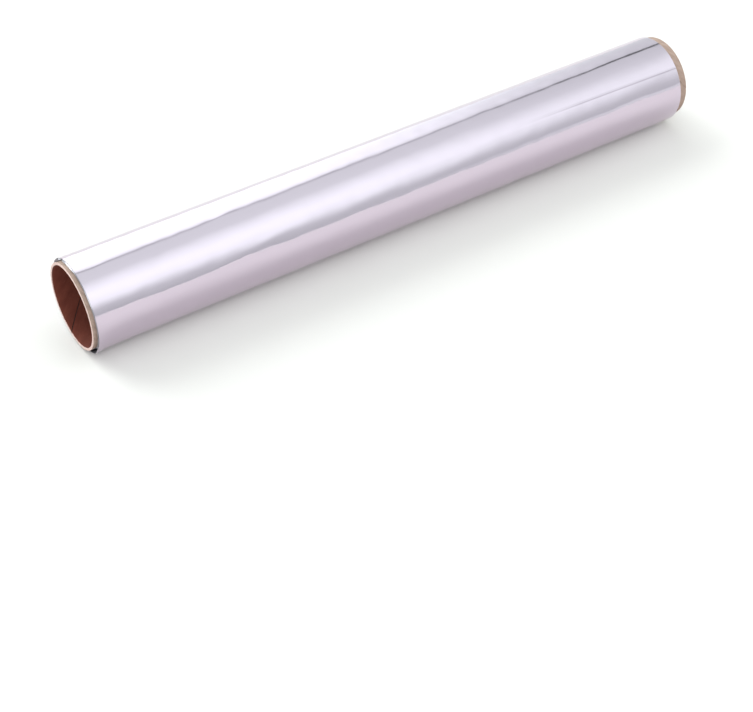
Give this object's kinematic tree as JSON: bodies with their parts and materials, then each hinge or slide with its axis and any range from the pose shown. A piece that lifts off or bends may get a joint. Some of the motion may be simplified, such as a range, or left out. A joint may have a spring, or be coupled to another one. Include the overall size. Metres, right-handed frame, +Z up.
{
  "type": "aluminium foil roll",
  "caption": "Household aluminium foil wound on a spiral cardboard core that stands out at both ends, lying on its side.",
  "frame": {"origin": "middle of the small flat spot on the foil's underside, on the surface that the roll lies on", "axes": "+X along the roll from its near end to its far end, +Z up, -Y the front of the roll"},
  "size_m": [0.3064, 0.0405, 0.0404],
  "materials": {
    "core_board": "matte",
    "foil": "gloss"
  },
  "bodies": {
    "root": {"core_tube": "core_board", "foil_winding": "foil"}
  },
  "joints": []
}
